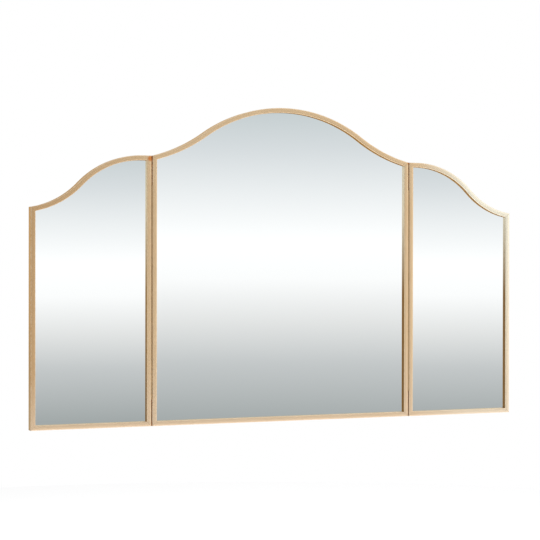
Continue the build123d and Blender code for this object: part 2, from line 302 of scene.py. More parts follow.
# %% Drifting patches and rubbed edges
tree, given, result = new_group(
    "Drifting patches",
    "ShaderNodeTree",
    [("Place", "Vector", None), ("Patch size", "Float", 0.05), ("Contrast", "Float", 1.0)],
    [("Patches", "Float")],
)
spot = lengthened(tree, given["Place"], calc(tree, "DIVIDE", 1.0, given["Patch size"]))
noise = out_of(tree, "ShaderNodeTexNoise", {"Vector": spot, "Scale": 1.0, "Detail": 3.0, "Roughness": 0.6})
centred = calc(tree, "MULTIPLY", calc(tree, "SUBTRACT", noise, 0.5), given["Contrast"])
patches = out_of(tree, "ShaderNodeClamp", {0: calc(tree, "ADD", centred, 0.5)})
tree.links.new(patches, result.inputs["Patches"])
drifting_patches = tree

tree, given, result = new_group(
    "Rubbed edges",
    "ShaderNodeTree",
    [
        ("Edge", "Float", 0.0),
        ("Place", "Vector", None),
        ("Wear", "Float", 0.5),
        ("Grain size", "Float", 0.004),
    ],
    [("Rubbed", "Float")],
)
patchy = grouped(tree, drifting_patches, Place=given["Place"], Patch_size=given["Grain size"], Contrast=3.0)
uneven = calc(tree, "MULTIPLY", given["Edge"], patchy[0])
tree.links.new(calc(tree, "MULTIPLY", uneven, given["Wear"]), result.inputs["Rubbed"])
rubbed_edges = tree
print("shared effects:", [g.name for g in (brushed_lines, drifting_patches, rubbed_edges)])

# %% [markdown]
# ## The frame's finish
# The frames are steel with a warm champagne coating that was brushed along each rail. Up close, fine lines
# run lengthwise and stop at every mitre, and the front edges are rubbed a little paler. The lip's inner side,
# where it turns in to the glass, has painted shade in deep brown, with a painted highlight where it faces up.
# The rails carry a UV map whose U runs along the rail and V round it, both in metres, so that the lines
# follow the arches. A hairline shows at each mitre.


# %% Champagne metal
def new_material(name):
    """A material, its tree, its shader, and the place on the object for the finish to vary by."""
    material = bpy.data.materials.new(name)
    material.use_nodes = True
    tree = material.node_tree
    tree.nodes.clear()
    shader = add(tree, "ShaderNodeBsdfPrincipled")
    add(tree, "ShaderNodeOutputMaterial", {"Surface": shader.outputs[0]})
    return material, tree, shader, add(tree, "ShaderNodeTexCoord").outputs["Object"]


def plug_in(tree, shader, tone, roughness, normal):
    for value, label in ((tone, "Base Color"), (roughness, "Roughness"), (normal, "Normal")):
        tree.links.new(value, shader.inputs[label])


def ranged(tree, value, low, high, to_low, to_high):
    return out_of(tree, "ShaderNodeMapRange", {0: value, 1: low, 2: high, 3: to_low, 4: to_high})


def attribute(tree, name):
    return add(tree, "ShaderNodeAttribute", attribute_name=name).outputs["Fac"]


def bumped(tree, height, distance):
    return out_of(tree, "ShaderNodeBump", {"Height": height, "Distance": distance})


champagne, tree, shader, place = new_material("champagne_metal")
along_rail = out_of(tree, "ShaderNodeUVMap", uv_map="UVMap")
brushing = grouped(tree, brushed_lines, Along_and_across=along_rail, Line_length=0.028, Line_width=0.00045)
patches = grouped(tree, drifting_patches, Place=place, Patch_size=0.09, Contrast=1.6)
rubbed = grouped(tree, rubbed_edges, Edge=attribute(tree, "edge"), Place=place, Wear=0.75, Grain_size=0.006)
inside_lip = attribute(tree, "lip")
seam = attribute(tree, "seam")

gold = mixed(tree, patches[0], (0.775, 0.54, 0.315, 1), (0.80, 0.585, 0.37, 1))
gold = mixed(tree, ranged(tree, brushing[1], 0.35, 0.65, 0.0, 0.3), gold, (0.70, 0.475, 0.255, 1))

# the photograph is greyer near the bottom, paler at the right end and deeper at the far left, all of it here
# in the coating; the pale right end, stronger towards the top, is a painted highlight of a reflected light
x, _, height = parts_of(tree, place)
gold = mixed(tree, ranged(tree, height, -0.545, -0.36, 0.7, 0.0), gold, (0.77, 0.59, 0.425, 1))
# painted highlight: paler towards the right end, more so towards the top
towards_top = ranged(tree, height, -0.5, 0.0, 0.35, 1.0)
painted_highlight_at_right_end = calc(tree, "MULTIPLY", ranged(tree, x, 0.33, 0.47, 0.0, 1.0), towards_top)
gold = mixed(tree, painted_highlight_at_right_end, gold, (0.965, 0.90, 0.75, 1))
# darker and browner towards the far left, above the bottom rail
above_rail = ranged(tree, height, -0.54, -0.42, 0.1, 1.0)
deeper_at_far_left = calc(tree, "MULTIPLY", ranged(tree, x, -0.585, -0.3, 0.8, 0.0), above_rail)
gold = mixed(tree, deeper_at_far_left, gold, (0.61, 0.375, 0.185, 1))
gold = mixed(tree, rubbed[0], gold, (0.93, 0.79, 0.62, 1))

# painted shade on the lip's inner side in deep brown, and a painted highlight in pale gold where it faces up
# and near the top of the upright rails
facing_up = parts_of(tree, add(tree, "ShaderNodeNewGeometry").outputs["Normal"])[2]
upright = ranged(tree, calc(tree, "ABSOLUTE", facing_up), 0.05, 0.3, 1.0, 0.0)
high_up = calc(tree, "MULTIPLY", upright, ranged(tree, height, -0.26, -0.06, 0.0, 1.0))
painted_lip_highlight = calc(tree, "MAXIMUM", high_up, ranged(tree, facing_up, 0.4, 0.8, 0.0, 1.0))
painted_lip_shade_and_highlight = mixed(tree, painted_lip_highlight, (0.26, 0.125, 0.03, 1), (0.95, 0.86, 0.68, 1))
gold = mixed(tree, calc(tree, "MULTIPLY", inside_lip, 0.92), gold, painted_lip_shade_and_highlight)
hairline = ranged(tree, seam, 0.0, 0.0004, 0.75, 0.0)
gold = mixed(tree, hairline, gold, (0.30, 0.18, 0.08, 1))

# two hinge corners are orange, as where the heat of a weld has turned the coating
HOT_CORNERS = [((-0.318, -0.022, 0.0435), 0.0095), ((0.3125, -0.022, 0.048), 0.004)]
for corner, reach in HOT_CORNERS:
    spread = add(tree, "ShaderNodeVectorMath", {0: place, 1: corner}, operation="DISTANCE").outputs["Value"]
    uneven = calc(tree, "ADD", spread, calc(tree, "MULTIPLY", brushing[1], 0.4 * reach))
    tint = ranged(tree, uneven, 0.55 * reach, reach, 0.95, 0.0)
    gold = mixed(tree, tint, gold, (0.68, 0.235, 0.06, 1))
shader.inputs["Metallic"].default_value = 1.0
shader.inputs["Specular Tint"].default_value = (0.88, 0.70, 0.46, 1)
roughness = ranged(tree, brushing[0], 0.3, 0.7, 0.27, 0.40)
roughness = calc(tree, "MULTIPLY_ADD", patches[0], 0.05, roughness)
plug_in(tree, shader, gold, roughness, bumped(tree, brushing[0], 0.000007))
print("frame finish:", champagne.name)

# %% [markdown]
# ## The rails
# On the real object each rail is a bar with an L shaped section: a lip in front of the glass and a thinner
# wall beside it. The straight ones are cut from the bar, the arches are bent, and all are mitred. A sweep
# says exactly that: one section carried along one path. It could be modelled by hand, loop by loop, but a
# Geometry Nodes sweep gives every rail the same section, slides the ends onto their mitres, and keeps the
# length along the rail for the brushed finish. Rounded front edges replace the solid model's bevels.

# %% Sizes of the frames
FRAME_BACK = -2 * MM
FRAME_DEPTH = 20 * MM
FACE_WIDTH = 10.5 * MM
LIP_DEPTH = 7 * MM
REAR_WALL = 6 * MM
OUTER_ROUND = 1.75 * MM
INNER_ROUND = 1.2 * MM
ARC_STEP = 5 * MM
SLANT_REACH = 3 * MM
PAST_MITRE = 6 * MM
NOTCH_FLOOR = 16.75 * MM
SEAM_STATIONS = (0.0, 0.4 * MM, 2.5 * MM)
BOTTOM = cad_box[0].z
PEAK = cad_box[1].z
HALF_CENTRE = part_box("centre_bottom_rail")[1].x
WING_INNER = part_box("right_wing_bottom_rail")[0].x
WING_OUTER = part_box("right_wing_bottom_rail")[1].x
HINGE_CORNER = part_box("right_wing_hinge_stile")[1].z
OUTER_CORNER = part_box("right_wing_outer_stile")[1].z
print("centre", round(2 * HALF_CENTRE, 3), "wing", round(WING_OUTER - WING_INNER, 3), "m wide")

# %% [markdown]
# An arch is two arcs that meet without a kink: a crown that bends down, and a shoulder that bends back up
# to the corner. The crown's reach and drop fix both, because the tangent at the turn follows from them.
# Drawing the arch a distance in from the edge only changes the two radii.


# %% The arches
class Arch:
    """Half an arch, from its level start down to its outer corner."""

    def __init__(self, start, reach, drop, corner):
        self.start, self.corner = start, corner
        self.slope = 2 * math.atan(drop / reach)
        self.crown_radius = reach / math.sin(self.slope)
        turn = (start[0] + reach, start[1] - drop)
        run, fall = corner[0] - turn[0], turn[1] - corner[1]
        self.shoulder_radius = math.hypot(run, fall) / (2 * math.sin(self.slope - math.atan2(fall, run)))
        self.centre = (
            turn[0] + self.shoulder_radius * math.sin(self.slope),
            turn[1] + self.shoulder_radius * math.cos(self.slope),
        )

    def shoulder_point(self, inset, slope):
        radius = self.shoulder_radius + inset
        return (self.centre[0] - radius * math.sin(slope), self.centre[1] - radius * math.cos(slope))

    def end_slope(self, inset=0.0):
        offset = self.centre[0] - (self.corner[0] - inset)
        return math.asin(offset / (self.shoulder_radius + inset))

    def end_point(self, inset):
        return self.shoulder_point(inset, self.end_slope(inset))

    def points(self):
        """Points on the outer edge, from the corner back to the start."""
        falling = np.linspace(self.end_slope(), self.slope, self.count(self.shoulder_radius))
        rising = np.linspace(self.slope, 0.0, self.count(self.crown_radius))[1:]
        top = self.start[1] - self.crown_radius
        radius = self.crown_radius
        crown = [(self.start[0] + radius * math.sin(s), top + radius * math.cos(s)) for s in rising]
        return [self.shoulder_point(0.0, s) for s in falling] + crown

    def count(self, radius):
        return max(8, int(radius * self.slope / ARC_STEP))


CROWN_DROP = 61 * MM
CENTRE_REACH = 192 * MM
WING_REACH = 142 * MM
WING_LEVEL = 21 * MM
wing_start = (WING_INNER + WING_LEVEL, HINGE_CORNER)
centre_arch = Arch((0.0, PEAK), CENTRE_REACH, CROWN_DROP, (HALF_CENTRE, HINGE_CORNER))
wing_arch = Arch(wing_start, WING_REACH, CROWN_DROP, (WING_OUTER, OUTER_CORNER))
print("crown radii", round(centre_arch.crown_radius, 3), round(wing_arch.crown_radius, 3), "m")

# %% [markdown]
# The sweep itself. Its inputs are the section, how far each end slants to its mitre, and the notch that the
# hinge barrel needs in the stiles that carry it. The path and the section are given as plain lines.

# %% The rail sweep in Geometry Nodes
tree, given, result = new_group(
    "Swept rail",
    "GeometryNodeTree",
    [
        ("Path", "Geometry", None),
        ("Section", "Object", None),
        ("Start slant", "Float", 0.0),
        ("End slant", "Float", 0.0),
        ("Slant reach", "Float", SLANT_REACH),
        ("Notch from", "Float", -1.0),
        ("Notch to", "Float", -1.0),
        ("Notch width", "Float", 0.75 * MM),
        ("Notch height", "Float", NOTCH_FLOOR),
        ("Material", "Material", None),
    ],
    [("Rail", "Geometry")],
)


def keep(tree, geometry, name, value, kind="FLOAT", domain="POINT"):
    """Stores a value on the geometry under a name, so that later nodes and materials can read it."""
    inputs = {"Geometry": geometry, "Name": name, "Value": value}
    return out_of(tree, "GeometryNodeStoreNamedAttribute", inputs, data_type=kind, domain=domain)


def kept(tree, name, kind="FLOAT"):
    return out_of(tree, "GeometryNodeInputNamedAttribute", {"Name": name}, data_type=kind)


line = out_of(tree, "GeometryNodeMeshToCurve", {"Mesh": given["Path"]})
tangent = out_of(tree, "GeometryNodeInputTangent")
along = add(tree, "GeometryNodeSplineParameter").outputs["Length"]
to_end = calc(tree, "SUBTRACT", add(tree, "GeometryNodeSplineLength").outputs["Length"], along)
inward = vector_calc(tree, "NORMALIZE", vector_calc(tree, "CROSS_PRODUCT", (0, -1, 0), tangent))
near_start = calc(tree, "LESS_THAN", along, given["Slant reach"])
near_end = calc(tree, "LESS_THAN", to_end, given["Slant reach"])
slant = calc(tree, "MULTIPLY", near_start, given["Start slant"])
slant = calc(tree, "MULTIPLY_ADD", near_end, given["End slant"], slant)
line = keep(tree, line, "slide", lengthened(tree, tangent, slant), "FLOAT_VECTOR")
line = keep(tree, line, "inward", inward, "FLOAT_VECTOR")
line = keep(tree, line, "along", along)
line = keep(tree, line, "seam", calc(tree, "MINIMUM", along, to_end))
line = out_of(tree, "GeometryNodeSetCurveNormal", {"Curve": line, "Normal": inward}, mode="FREE")

section_mesh = add(tree, "GeometryNodeObjectInfo", {"Object": given["Section"]}).outputs["Geometry"]
section = out_of(tree, "GeometryNodeMeshToCurve", {"Mesh": section_mesh})
drawn = parts_of(tree, out_of(tree, "GeometryNodeInputPosition"))
section = keep(tree, section, "inset", drawn[0])
section = keep(tree, section, "height", drawn[1])
section = keep(tree, section, "around", add(tree, "GeometryNodeSplineParameter").outputs["Length"])

sweep = {"Curve": line, "Profile Curve": section, "Fill Caps": True}
rail = out_of(tree, "GeometryNodeCurveToMesh", sweep)
sideways = lengthened(tree, kept(tree, "slide", "FLOAT_VECTOR"), kept(tree, "inset"))
rail = out_of(tree, "GeometryNodeSetPosition", {"Geometry": rail, "Offset": sideways})

# each test gives 0 or 1, so their product says whether a point is in the notch
in_notch = 1.0
for name, test, limit in (
    ("along", "GREATER_THAN", "Notch from"),
    ("along", "LESS_THAN", "Notch to"),
    ("inset", "LESS_THAN", "Notch width"),
    ("height", "GREATER_THAN", "Notch height"),
):
    in_notch = calc(tree, "MULTIPLY", in_notch, calc(tree, test, kept(tree, name), given[limit]))
missing = calc(tree, "SUBTRACT", given["Notch width"], kept(tree, "inset"))
cut_back = lengthened(tree, kept(tree, "inward", "FLOAT_VECTOR"), missing)
notched = {"Geometry": rail, "Selection": in_notch, "Offset": cut_back}
rail = out_of(tree, "GeometryNodeSetPosition", notched)

chart = out_of(tree, "ShaderNodeCombineXYZ", {0: kept(tree, "along"), 1: kept(tree, "around")})
rail = keep(tree, rail, "UVMap", chart, "FLOAT2", "CORNER")
rail = out_of(tree, "GeometryNodeRealizeInstances", {"Geometry": rail})
rail = out_of(tree, "GeometryNodeSetMaterial", {"Geometry": rail, "Material": given["Material"]})
tree.links.new(rail, result.inputs["Rail"])
rail_sweep = tree
print("rail sweep has", len(rail_sweep.nodes), "nodes")

# %% [markdown]
# The section is drawn once, as the real bar's end would look: inset from the outer edge to the right and
# height above the back upwards. The points on the rounded edges are marked, and so are those on the lip's
# inner side, because the finish wears on the one and the other gets painted shade.


# %% The section of the bar
def rounded_corner(x, y, towards_x, first_angle, radius):
    """Points round an outside corner whose centre lies inwards from it by the rounding's radius."""
    middle_x = x + towards_x * radius
    middle_y = y - radius
    angles = [first_angle - math.radians(22.5) * step for step in range(5)]
    return [(middle_x + radius * math.cos(a), middle_y + radius * math.sin(a)) for a in angles]


def line_object(name, points, closed=False, marks=None):
    """A mesh of edges only, with named values on its points."""
    count = len(points)
    edges = [(i, (i + 1) % count) for i in range(count if closed else count - 1)]
    made = mesh_object(name, points, edges=edges)
    for label, values in (marks or {}).items():
        made.data.attributes.new(label, "FLOAT", "POINT").data.foreach_set("value", values)
    return made


TINY = 0.01 * MM
UNDER_ROUND = 1.6 * MM
outer_round = rounded_corner(0.0, FRAME_DEPTH, 1, math.pi, OUTER_ROUND)
inner_round = rounded_corner(FACE_WIDTH, FRAME_DEPTH, -1, math.pi / 2, INNER_ROUND)
side_points = [(0.0, 0.0), (0.0, NOTCH_FLOOR), (0.0, NOTCH_FLOOR + TINY)]
lip_foot = FRAME_DEPTH - LIP_DEPTH
lip_top = FRAME_DEPTH - UNDER_ROUND
lip_points = [(FACE_WIDTH, lip_top), (FACE_WIDTH, lip_foot), (REAR_WALL, lip_foot), (REAR_WALL, 0.0)]
section_points = side_points + outer_round + inner_round + lip_points
edge_marks = [0.0] * 3 + [0.0, 0.6, 1.0, 0.6, 0.0] * 2 + [0.0] * 4
lip_marks = [0.0] * 13 + [1.0, 1.0, 0.0, 0.0]
marks = {"edge": edge_marks, "lip": lip_marks}
bar_section = line_object("bar_section", [(x, y, 0) for x, y in section_points], True, marks)
print("section points:", len(section_points))

# %% [markdown]
# Each rail's path is its outer edge, drawn anticlockwise round the panel. Close to both ends a few extra
# stations hold the hairline of the mitre, and they slant together with the end. The left wing is the right
# one mirrored, so only the right one's paths are worked out.


# %% The paths of the rails
def resampled(points):
    """The path with extra stations near both ends for the mitres, and none where a slant would cross them."""
    points = [np.array(p, float) for p in points]
    lengths = np.cumsum([0.0] + [np.linalg.norm(b - a) for a, b in zip(points, points[1:])])
    total = lengths[-1]
    stations = list(SEAM_STATIONS) + [total - s for s in reversed(SEAM_STATIONS)]
    clear = FACE_WIDTH + PAST_MITRE
    inner = [s for s in lengths if clear < s < total - clear] or [total / 2]
    stations = sorted(stations + [clear, total - clear] + inner)
    xs = np.interp(stations, lengths, [p[0] for p in points])
    zs = np.interp(stations, lengths, [p[1] for p in points])
    return list(zip(xs, zs))


def slant_of(corner, inner_corner, before, after):
    """How far the mitre slides along the rail for each unit of inset."""
    step = np.subtract(after, before)
    tangent = step / np.linalg.norm(step)
    return float(np.dot(np.subtract(inner_corner, corner), tangent) / FACE_WIDTH)


def inset_corner(corner, x_step, z_step):
    return (corner[0] + x_step * FACE_WIDTH, corner[1] + z_step * FACE_WIDTH)


def rail_path(points, start_inner, end_inner):
    """A rail's stations and the slants of its two ends."""
    start_slant = slant_of(points[0], start_inner, points[0], points[1])
    end_slant = slant_of(points[-1], end_inner, points[-2], points[-1])
    return resampled(points), start_slant, end_slant


def panel_paths(panel, names, corners, inner_corners, arch):
    """The four rails of a panel, anticlockwise from its low left corner. The third one is the arch."""
    routes = [corners[0:2], corners[1:3], arch, [corners[3], corners[0]]]
    ends = zip(inner_corners, inner_corners[1:] + inner_corners[:1])
    return {(panel, name): rail_path(route, *pair) for name, route, pair in zip(names, routes, ends)}


low_left, low_right = (-HALF_CENTRE, BOTTOM), (HALF_CENTRE, BOTTOM)
right_half = centre_arch.points()
inner_right = centre_arch.end_point(FACE_WIDTH)
inner_left = (-inner_right[0], inner_right[1])
paths = panel_paths(
    "centre",
    ("bottom_rail", "right_stile", "top_rail", "left_stile"),
    [low_left, low_right, (HALF_CENTRE, HINGE_CORNER), (-HALF_CENTRE, HINGE_CORNER)],
    [inset_corner(low_left, 1, 1), inset_corner(low_right, -1, 1), inner_right, inner_left],
    right_half + [(-x, z) for x, z in reversed(right_half[:-1])],
)
low_in, low_out, high_in = (WING_INNER, BOTTOM), (WING_OUTER, BOTTOM), (WING_INNER, HINGE_CORNER)
inner_out = wing_arch.end_point(FACE_WIDTH)
paths |= panel_paths(
    "right_wing",
    ("bottom_rail", "outer_stile", "top_rail", "hinge_stile"),
    [low_in, low_out, (WING_OUTER, OUTER_CORNER), high_in],
    [inset_corner(low_in, 1, 1), inset_corner(low_out, -1, 1), inner_out, inset_corner(high_in, 1, -1)],
    wing_arch.points() + [high_in],
)
print("paths:", len(paths))

# %% [markdown]
# A modifier runs the sweep on each path. Its inputs are set through the sockets' identifiers, and the
# result is then frozen to an ordinary mesh.


# %% Sweep the rails
SHARP_FROM = math.radians(32)
HINGE_ROOM = 0.3 * MM
HINGED_STILES = ("left_stile", "right_stile", "hinge_stile")


def set_inputs(modifier, values):
    sockets = {s.name: s.identifier for s in modifier.node_group.interface.items_tree if s.in_out == "INPUT"}
    for name, value in values.items():
        modifier[sockets[name]] = value


def tidy_mesh(mesh, flip=False):
    """Merges doubles, mirrors the mesh to the left side if asked, and points its faces outwards."""
    work = bmesh.new()
    work.from_mesh(mesh)
    if flip:
        work.transform(Matrix.Scale(-1, 4, (1, 0, 0)))
    bmesh.ops.remove_doubles(work, verts=work.verts, dist=1e-7)
    bmesh.ops.dissolve_degenerate(work, edges=work.edges, dist=1e-7)
    bmesh.ops.recalc_face_normals(work, faces=work.faces)
    work.to_mesh(mesh)
    work.free()
    mesh.polygons.foreach_set("use_smooth", [True] * len(mesh.polygons))
    mesh.set_sharp_from_angle(angle=SHARP_FROM)


def frozen(source, name, flip=False):
    """A plain, tidied mesh object made from what the modifiers of the source give. The source goes."""
    bpy.context.view_layer.update()
    graph = bpy.context.evaluated_depsgraph_get()
    mesh = bpy.data.meshes.new_from_object(source.evaluated_get(graph))
    bpy.data.objects.remove(source)
    mesh.name = name
    tidy_mesh(mesh, flip)
    return in_scene(name, mesh)


HINGE_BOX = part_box("right_hinge_pin")
HINGE_LOW = HINGE_BOX[0].z - HINGE_ROOM
HINGE_HIGH = HINGE_BOX[1].z + HINGE_ROOM
HINGE_AXIS = (HINGE_BOX[0].x + HINGE_BOX[1].x) / 2


def with_stations(points, extra):
    """Adds stations at given heights to a straight upright path."""
    rising = points[0][1] < points[-1][1]
    heights = sorted({z for _, z in points} | set(extra), reverse=not rising)
    return [(points[0][0], z) for z in heights]


def sweep_rail(panel, name, stations, start_slant, end_slant, flip):
    inputs = {"Section": bar_section, "Material": champagne}
    inputs |= {"Start slant": start_slant, "End slant": end_slant}
    if name in HINGED_STILES:
        ends = [HINGE_LOW, HINGE_LOW + TINY, HINGE_HIGH - TINY, HINGE_HIGH]
        stations = with_stations(stations, ends)
        start = stations[0][1]
        reached = sorted(abs(z - start) for z in (HINGE_LOW + TINY, HINGE_HIGH - TINY))
        inputs["Notch from"] = reached[0] - TINY / 2
        inputs["Notch to"] = reached[1] + TINY / 2
    path = line_object("path", [(x, FRAME_BACK, z) for x, z in stations])
    modifier = path.modifiers.new("sweep", "NODES")
    modifier.node_group = rail_sweep
    set_inputs(modifier, inputs)
    side = panel.replace("right", "left") if flip else panel
    rail = frozen(path, f"{side}_{name}_swept", flip)
    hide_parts(f"{side}_{name}")
    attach(rail, side)
    return rail


rails = []
for (panel, name), (stations, start_slant, end_slant) in paths.items():
    rails.append(sweep_rail(panel, name, stations, start_slant, end_slant, False))
    if panel == "right_wing":
        rails.append(sweep_rail(panel, name, stations, start_slant, end_slant, True))
bpy.data.objects.remove(bar_section)
print("rails:", len(rails), "faces:", sum(len(r.data.polygons) for r in rails))


# %% [markdown]
# ## The glass
# The mirrors are silvered float glass. From the front they are nearly perfect reflectors with a slight cool
# tone, and only the ground edges show the green of the glass. A real mirror is never quite clean, so a
# faint smudge here and there is rougher. In the photograph the bright band sits lower in the wings and is
# squeezed there, as if their sheets bowed by about a millimetre over the whole height. That is too slight
# to model, but a mirror doubles it, so the shading normal leans a little more with height.


# %% Mirror glass
GLASS_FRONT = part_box("centre_mirror_glass")[0].y
BOW_STARTS = -0.49
WING_BOW = 0.0256


def mixed_value(tree, share, first, second):
    return out_of(tree, "ShaderNodeMix", {0: share, 2: first, 3: second}, data_type="FLOAT")


def mirror_finish(name, bow):
    material, tree, shader, place = new_material(name)
    normal = add(tree, "ShaderNodeNewGeometry").outputs["Normal"]
    _, depth, height = parts_of(tree, place)
    above_bottom = calc(tree, "SUBTRACT", height, BOW_STARTS)
    lean = out_of(tree, "ShaderNodeCombineXYZ", {2: calc(tree, "MULTIPLY", above_bottom, bow)})
    front = ranged(tree, depth, GLASS_FRONT + 0.03 * MM, GLASS_FRONT + 0.08 * MM, 1.0, 0.0)
    smudges = grouped(tree, drifting_patches, Place=place, Patch_size=0.16, Contrast=2.5)
    tone = mixed(tree, front, (0.20, 0.42, 0.34, 1), (0.94, 0.955, 0.955, 1))
    tree.links.new(ranged(tree, front, 0.0, 1.0, 0.25, 1.0), shader.inputs["Metallic"])
    haze = ranged(tree, smudges[0], 0.55, 1.0, 0.008, 0.03)
    turned = vector_calc(tree, "NORMALIZE", vector_calc(tree, "ADD", normal, lean))
    wave = grouped(tree, drifting_patches, Place=place, Patch_size=0.3, Contrast=1.0)
    uneven = out_of(tree, "ShaderNodeBump", {"Height": wave[0], "Distance": 0.00002, "Normal": turned})
    plug_in(tree, shader, tone, mixed_value(tree, front, 0.35, haze), uneven)
    return material


glass_finishes = {
    "centre_mirror_glass": mirror_finish("flat_mirror", 0.0),
    "left_wing_mirror_glass": mirror_finish("bowed_mirror", WING_BOW),
}
glass_finishes["right_wing_mirror_glass"] = glass_finishes["left_wing_mirror_glass"]
print("mirror finishes:", len(set(glass_finishes.values())))

# %% [markdown]
# ## What is behind the glass
# The boards are brown hardboard with short fibres pressed flat. The hinges have the frame's colour, a
# little darker, with the fine lengthwise lines of drawn brass. The clips and hanger plates are zinc plated
# steel, which shows as pale patches with a faint blue and yellow cast.


# %% Board, hinge, zinc and steel
def plain_metal(name, deep, pale, rough, line_size, patch_size):
    """A plated or drawn metal: fine lines, drifting tone and rougher patches."""
    material, tree, shader, place = new_material(name)
    x, y, z = parts_of(tree, place)
    chart = out_of(tree, "ShaderNodeCombineXYZ", {0: z, 1: calc(tree, "ADD", x, y)})
    run = 25 * line_size
    lines = grouped(tree, brushed_lines, Along_and_across=chart, Line_length=run, Line_width=line_size)
    patches = grouped(tree, drifting_patches, Place=place, Patch_size=patch_size, Contrast=2.0)
    tone = mixed(tree, patches[0], (*deep, 1), (*pale, 1))
    tone = mixed(tree, calc(tree, "MULTIPLY", lines[1], 0.25), tone, (*(0.8 * c for c in deep), 1))
    shader.inputs["Metallic"].default_value = 1.0
    streaky = calc(tree, "MULTIPLY_ADD", lines[0], 0.12, rough - 0.06)
    roughness = calc(tree, "MULTIPLY_ADD", patches[0], 0.08, streaky)
    plug_in(tree, shader, tone, roughness, bumped(tree, lines[0], 0.00002))
    return material


def hardboard_finish():
    material, tree, shader, place = new_material("hardboard")
    fibres = out_of(tree, "ShaderNodeTexNoise", {"Vector": place, "Scale": 900.0, "Detail": 3.0})
    patches = grouped(tree, drifting_patches, Place=place, Patch_size=0.12, Contrast=1.5)
    tone = mixed(tree, patches[0], (0.20, 0.115, 0.06, 1), (0.29, 0.18, 0.10, 1))
    tone = mixed(tree, ranged(tree, fibres, 0.35, 0.7, 0.0, 0.6), tone, (0.12, 0.065, 0.03, 1))
    plug_in(tree, shader, tone, ranged(tree, fibres, 0.3, 0.7, 0.55, 0.8), bumped(tree, fibres, 0.0002))
    return material


def rubber_finish():
    material, tree, shader, place = new_material("bumper_rubber")
    grain = out_of(tree, "ShaderNodeTexNoise", {"Vector": place, "Scale": 2500.0, "Detail": 2.0})
    tone = mixed(tree, grain, (0.02, 0.02, 0.021, 1), (0.045, 0.044, 0.043, 1))
    plug_in(tree, shader, tone, ranged(tree, grain, 0.3, 0.7, 0.6, 0.8), bumped(tree, grain, 0.0001))
    return material


hinge_brass = plain_metal("hinge_brass", (0.50, 0.33, 0.17), (0.64, 0.45, 0.26), 0.36, 0.0006, 0.03)
pin_steel = plain_metal("pin_steel", (0.50, 0.49, 0.47), (0.62, 0.61, 0.59), 0.30, 0.0003, 0.02)
zinc_plate = plain_metal("zinc_plate", (0.50, 0.52, 0.55), (0.72, 0.71, 0.66), 0.36, 0.0008, 0.012)
screw_steel = plain_metal("screw_steel", (0.45, 0.44, 0.42), (0.66, 0.64, 0.60), 0.28, 0.0003, 0.008)
hardboard = hardboard_finish()
bumper_rubber = rubber_finish()
print("finishes so far:", ", ".join(material.name for material in bpy.data.materials))

# %% [markdown]
# ## Screws and clips
# Bent clips hold the boards, small pan head screws hold the clips, and countersunk screws hold the hinge
# leaves and the hangers. All of one kind are alike, and only the turn of the cross in each head differs,
# since nobody stops a screw at a set angle. So one of each kind is modelled, and Geometry Nodes put it at
# every place with a random turn. The places are read from the solid model: each solid of a node is one.


# %% Find the places
def separate_solids(node):
    """The points of every separate solid in a node, in a steady order."""
    work = bmesh.new()
    work.from_mesh(bpy.data.objects[node].data)
    bmesh.ops.remove_doubles(work, verts=work.verts, dist=1e-6)
    waiting = set(work.verts)
    solids = []
    while waiting:
        reached = [waiting.pop()]
        for vert in reached:
            neighbours = {edge.other_vert(vert) for edge in vert.link_edges} & waiting
            waiting -= neighbours
            reached.extend(neighbours)
        solids.append(np.array([vert.co for vert in reached]))
    work.free()
    return sorted(solids, key=lambda points: [round(float(c), 4) for c in points.min(0)])


def separate_boxes(node):
    return [(Vector(points.min(0)), Vector(points.max(0))) for points in separate_solids(node)]


print("clips on the centre:", len(separate_boxes("centre_board_clips")))

# %% [markdown]
# A screw's mesh is an outline spun about an axis, as in a lathe. The outline lists the radius and height of
# each ring. The cross in the head is cut out with a boolean.


# %% Turn the screws
SCREW_SIDES = 24
THREAD_PITCH = 0.7 * MM
POINT_LENGTH = 1.2 * MM


def lathed(name, outline):
    """A closed turned shape about Z. The outline's first and last points lie on the axis."""
    rings = outline[1:-1]
    angles = np.linspace(0, 2 * math.pi, SCREW_SIDES, endpoint=False)
    points = [(0, 0, outline[0][1])]
    points += [(radius * math.cos(a), radius * math.sin(a), z) for radius, z in rings for a in angles]
    points.append((0, 0, outline[-1][1]))

    def at(ring, side):
        return 1 + ring * SCREW_SIDES + side % SCREW_SIDES

    last = len(rings) - 1
    sides = range(SCREW_SIDES)
    faces = [(0, at(0, side), at(0, side + 1)) for side in sides]
    for ring in range(last):
        faces += [(at(ring, k), at(ring + 1, k), at(ring + 1, k + 1), at(ring, k + 1)) for k in sides]
    faces += [(at(last, side + 1), at(last, side), len(points) - 1) for side in sides]
    made = mesh_object(name, points, faces)
    tidy_mesh(made.data)
    return made


def spanned(name, first, second):
    """A closed mesh between two outlines that have equally many points."""
    count = len(first)
    faces = [tuple(range(count)), tuple(reversed(range(count, 2 * count)))]
    faces += [(k, (k + 1) % count, count + (k + 1) % count, count + k) for k in range(count)]
    return mesh_object(name, first + second, faces)


def cross_cutter(reach, width, depth):
    """A cross shaped punch that narrows downwards."""
    half = width / 2
    arm = [(half, half), (half, reach), (-half, reach)]
    turns = [arm, [(-y, x) for x, y in arm], [(-x, -y) for x, y in arm], [(y, -x) for x, y in arm]]
    outline = [point for turn in turns for point in turn]
    above = [(x, y, depth) for x, y in outline]
    below = [(0.6 * x, 0.6 * y, -depth) for x, y in outline]
    made = spanned("cross_cutter", above, below)
    tidy_mesh(made.data)
    return made


def thread(radius, top, tip):
    """Ridges down to a point, as pairs of a wide and a narrow ring."""
    outline = []
    for step in range(int((top - tip - POINT_LENGTH) / THREAD_PITCH)):
        high = top - step * THREAD_PITCH
        outline += [(radius, high), (0.8 * radius, high - THREAD_PITCH / 2)]
    return outline + [(0.75 * radius, tip + POINT_LENGTH), (0.15 * radius, tip), (0.0, tip)]


